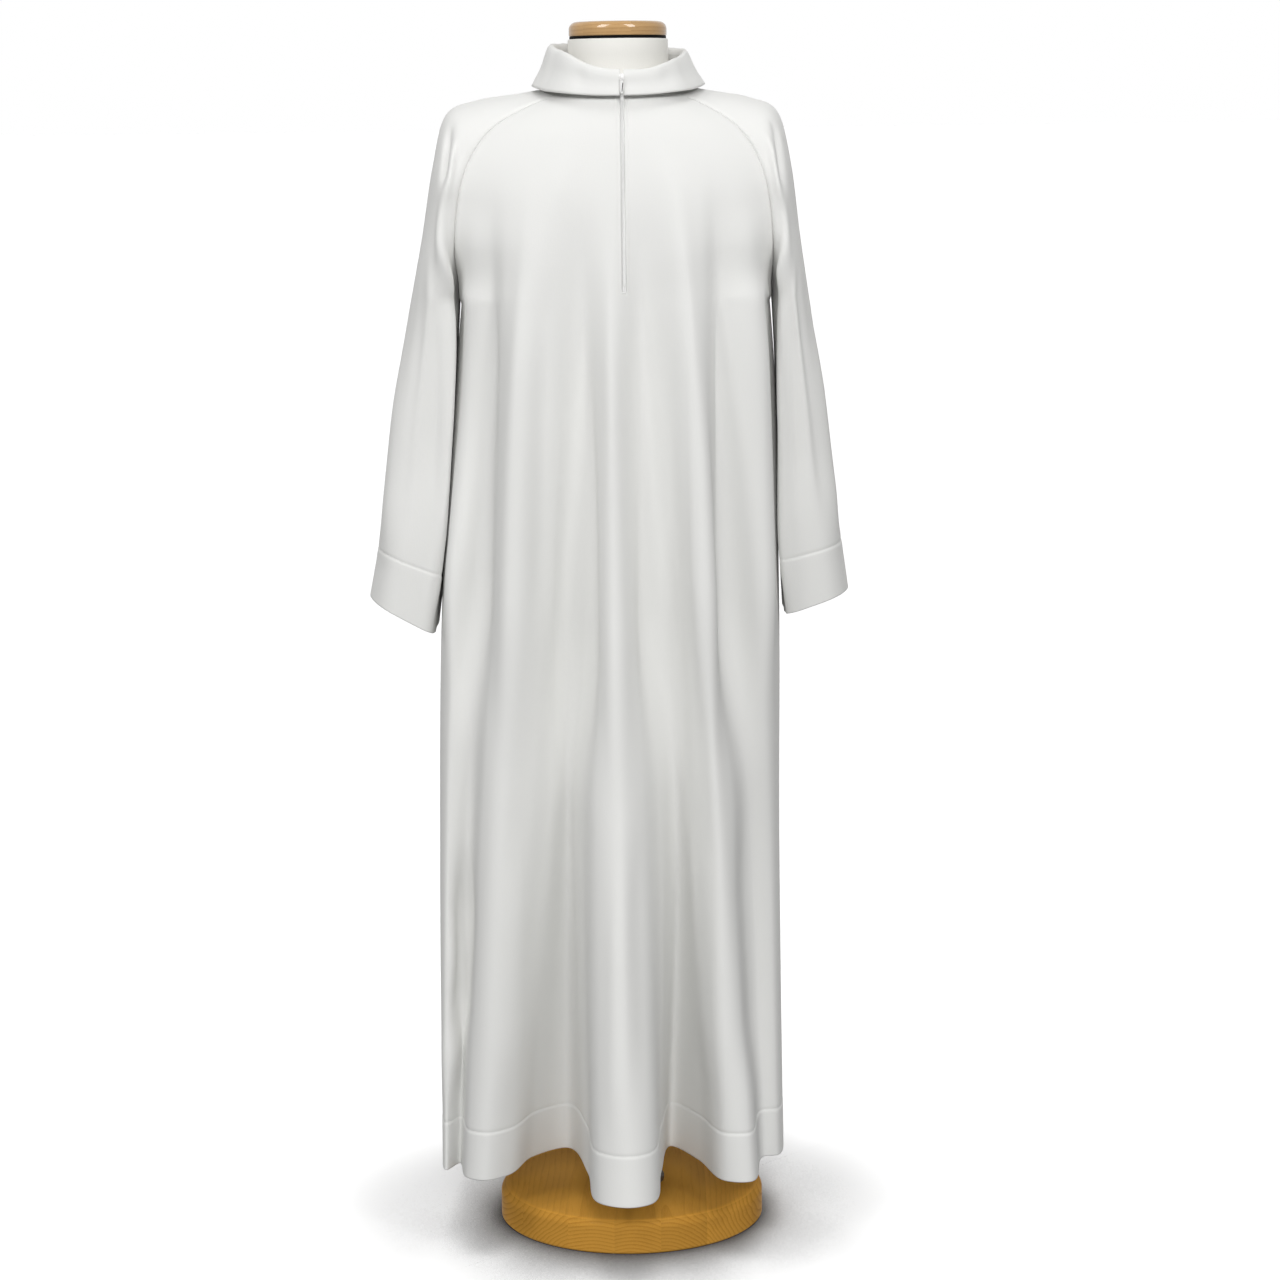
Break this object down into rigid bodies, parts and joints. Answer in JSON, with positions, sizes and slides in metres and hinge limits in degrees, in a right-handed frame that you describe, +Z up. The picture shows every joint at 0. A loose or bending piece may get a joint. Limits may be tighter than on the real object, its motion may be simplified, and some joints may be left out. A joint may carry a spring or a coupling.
{
  "type": "alb robe on dress form",
  "caption": "Long white raglan-sleeved alb with a fold-over collar and a short front zip, hanging on a limbless dress form with a wooden neck cap, pole and round base.",
  "frame": {"origin": "centre of the wooden base's underside, on the ground", "axes": "+Z up, the robe's front faces -Y, and +X is at the right of a viewer who faces the front"},
  "size_m": [0.639, 0.545, 1.617],
  "materials": {
    "cloth": "matt off-white fine-weave cloth",
    "jersey": "cream cotton jersey stretched over the form",
    "zip_tape": "white woven zip tape",
    "zip_metal": "bright silvery metal",
    "beech": "golden beech with glossy lacquer",
    "black": "black plastic ring",
    "steel": "steel tube with flanges"
  },
  "bodies": {
    "robe_and_form": {"front_panel": "cloth", "back_panel": "cloth", "sleeve_left": "cloth", "sleeve_right": "cloth", "collar": "cloth", "zip_tape_left": "zip_tape", "zip_tape_right": "zip_tape", "zip_slider": "zip_metal", "form_torso": "jersey", "form_cap_ring": "black", "form_cap": "beech", "form_pole": "steel", "form_base": "beech"},
    "pull_tab": {"zip_pull_tab": "zip_metal"}
  },
  "joints": [
    {"name": "pull_tab_hinge", "type": "hinge", "parent": "robe_and_form", "child": "pull_tab", "pos_m": [0.005, -0.0978, 1.54485], "axis": [-1, 0, 0], "range_deg": [0, 150]}
  ]
}
